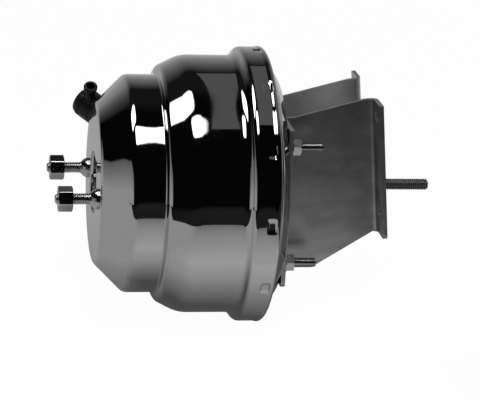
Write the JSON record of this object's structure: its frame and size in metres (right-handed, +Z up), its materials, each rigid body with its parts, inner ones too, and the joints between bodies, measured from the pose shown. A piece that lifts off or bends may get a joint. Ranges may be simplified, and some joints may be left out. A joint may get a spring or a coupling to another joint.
{
  "type": "brake booster",
  "caption": "Vacuum brake booster with two stepped drums, a crimped rim, nose studs, an elbow check valve, a threaded pedal rod and a pair of bent firewall brackets.",
  "frame": {"origin": "centre of the four firewall bolt holes, on the plane where the brackets meet the firewall", "axes": "+X square to the firewall towards the pedal, +Z up, +Y to the left of someone at the pedal; the booster's own axis leans 5.83 degrees nose up"},
  "size_m": [0.3134, 0.227, 0.2268],
  "materials": {
    "chrome_shell": "mirror polished chrome plate",
    "zinc_steel": "zinc plated pressed steel",
    "zinc_hardware": "bright zinc plate",
    "bracket_steel": "smoky dark plated steel, semi gloss",
    "rod_steel": "dark oiled steel",
    "spring_steel": "oiled spring wire",
    "hub_plastic": "glass filled phenolic",
    "valve_plastic": "moulded nylon, satin",
    "black_rubber": "matt moulded rubber",
    "felt": "felt"
  },
  "bodies": {
    "housing": {"front_shell": "chrome_shell", "rear_shell": "chrome_shell", "backing_ring": "zinc_steel", "centre_plate": "zinc_steel", "centre_seal": "black_rubber", "primary_diaphragm": "black_rubber", "secondary_diaphragm": "black_rubber", "front_seal": "black_rubber", "neck_seal": "black_rubber", "neck_bearing": "hub_plastic", "neck_retainer": "zinc_steel", "dust_boot": "black_rubber", "master_cylinder_studs": "zinc_hardware", "master_cylinder_nuts": "zinc_hardware", "rear_studs": "zinc_hardware", "rear_nuts": "zinc_hardware", "right_bracket": "bracket_steel", "left_bracket": "bracket_steel", "check_valve_grommet": "black_rubber", "return_spring": "spring_steel"},
    "power_piston": {"valve_body": "hub_plastic", "primary_plate": "zinc_steel", "secondary_plate": "zinc_steel", "reaction_disc": "black_rubber", "output_pushrod": "rod_steel", "pushrod_retainer": "zinc_steel", "plunger_key": "zinc_steel", "poppet_valve": "black_rubber", "poppet_retainer": "zinc_steel", "poppet_spring": "spring_steel", "rod_return_spring": "spring_steel", "silencer": "felt", "air_filter": "felt"},
    "air_valve": {"air_valve": "rod_steel"},
    "input_rod": {"input_pushrod": "rod_steel"},
    "check_valve": {"check_valve_body": "valve_plastic", "check_valve_cap": "valve_plastic", "check_valve_spring": "spring_steel"},
    "check_disc": {"check_valve_disc": "black_rubber"}
  },
  "joints": [
    {"name": "piston_slide", "type": "slide", "parent": "housing", "child": "power_piston", "axis": [-0.9948, 0, 0.1016], "range_m": [0, 0.03], "stiffness_N_per_m": 3500, "springref_m": -0.03, "deforming": ["return_spring", "primary_diaphragm", "secondary_diaphragm", "dust_boot"]},
    {"name": "plunger_slide", "type": "slide", "parent": "power_piston", "child": "air_valve", "axis": [-0.9948, 0, 0.1016], "range_m": [0, 0.0018], "stiffness_N_per_m": 4000, "springref_m": -0.008, "deforming": ["poppet_valve", "poppet_spring", "rod_return_spring"]},
    {"name": "rod_swing", "type": "hinge", "parent": "air_valve", "child": "input_rod", "pos_m": [-0.09749, 0, -0.02131], "axis": [0, 1, 0], "range_deg": [-2.5, 2.5], "stiffness_Nm_per_rad": 8},
    {"name": "elbow_swivel", "type": "hinge", "parent": "housing", "child": "check_valve", "pos_m": [-0.21745, 0.06236, 0.03322], "axis": [-0.6633, 0.5862, 0.4652], "continuous": true},
    {"name": "check_disc_lift", "type": "slide", "parent": "check_valve", "child": "check_disc", "axis": [-0.6633, 0.5862, 0.4652], "range_m": [0, 0.0012], "stiffness_N_per_m": 40, "springref_m": -0.003, "deforming": ["check_valve_spring"]}
  ]
}
